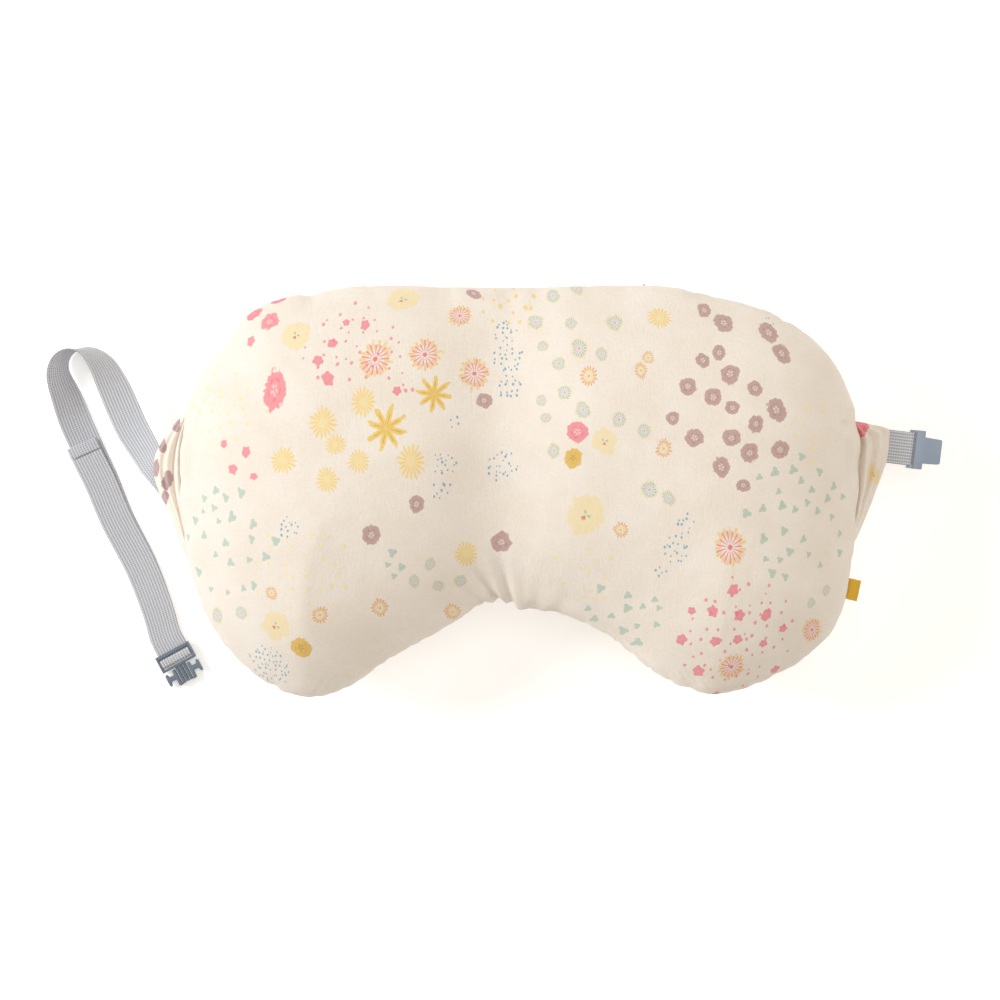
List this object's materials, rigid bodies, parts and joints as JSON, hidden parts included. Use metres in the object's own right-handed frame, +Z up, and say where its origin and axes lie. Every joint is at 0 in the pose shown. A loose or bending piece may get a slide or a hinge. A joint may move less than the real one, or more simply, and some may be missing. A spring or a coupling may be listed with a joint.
{
  "type": "nursing cushion",
  "caption": "Kidney-shaped feeding cushion for the waist, with a printed cotton cover, a rear zip, fabric end wings and an adjustable webbing belt closed by a side-release buckle.",
  "frame": {"origin": "on the flat underside of the lying cushion, under its middle, at the floor", "axes": "+X along the cushion towards the end with the buckle's socket, +Y away from the waist notch, +Z up through the cushion's thickness"},
  "size_m": [0.8202, 0.3717, 0.1651],
  "materials": {
    "printed_cotton": "matte woven cotton with a loose floral print",
    "liner_cloth": "plain matte cloth",
    "polyester_fibre": "loose white fibre",
    "label_tape": "woven satin tape, blank",
    "zip_tape": "matte twill tape",
    "zip_coil": "nylon coil",
    "zip_metal": "satin nickel",
    "webbing": "ribbed grey webbing",
    "buckle_plastic": "satin moulded plastic, blue-grey"
  },
  "bodies": {
    "cushion": {"cover_upper_panel": "printed_cotton", "cover_lower_panel": "printed_cotton", "liner_upper_panel": "liner_cloth", "liner_lower_panel": "liner_cloth", "fibre_filling": "polyester_fibre", "left_wing_upper": "printed_cotton", "left_wing_lower": "printed_cotton", "right_wing_upper": "printed_cotton", "right_wing_lower": "printed_cotton", "side_label": "label_tape", "zip_upper_tape": "zip_tape", "zip_lower_tape": "zip_tape", "zip_upper_coil": "zip_coil", "zip_lower_coil": "zip_coil", "zip_top_stop": "zip_metal", "zip_bottom_stop": "zip_metal", "short_strap": "webbing", "long_strap": "webbing", "strap_tail": "webbing", "strap_tail_hem": "webbing", "buckle_plug_frame": "buckle_plastic"},
    "socket": {"buckle_socket": "buckle_plastic"},
    "plug_left_arm": {"buckle_plug_left_arm": "buckle_plastic"},
    "plug_right_arm": {"buckle_plug_right_arm": "buckle_plastic"},
    "slider": {"zip_slider": "zip_metal"},
    "pull_tab": {"zip_pull_tab": "zip_metal"}
  },
  "joints": [
    {"name": "socket_swivel", "type": "hinge", "parent": "cushion", "child": "socket", "pos_m": [0.35613, 0.03705, 0.081], "axis": [0.1219, 0.9925, 0], "range_deg": [-60, 60]},
    {"name": "left_arm_squeeze", "type": "hinge", "parent": "cushion", "child": "plug_left_arm", "pos_m": [-0.31175, -0.182, 0.0047], "axis": [0, 0, 1], "range_deg": [-4, 0], "stiffness_Nm_per_rad": 0.3},
    {"name": "right_arm_squeeze", "type": "hinge", "parent": "cushion", "child": "plug_right_arm", "pos_m": [-0.30208, -0.17676, 0.0047], "axis": [0, 0, 1], "range_deg": [0, 4], "stiffness_Nm_per_rad": 0.3},
    {"name": "zip_travel", "type": "slide", "parent": "cushion", "child": "slider", "axis": [-1, 0, 0], "range_m": [0, 0.23]},
    {"name": "pull_tab_swing", "type": "hinge", "parent": "slider", "child": "pull_tab", "pos_m": [0.117, 0.1848, 0.071], "axis": [1, 0, 0], "range_deg": [0, 150]}
  ]
}
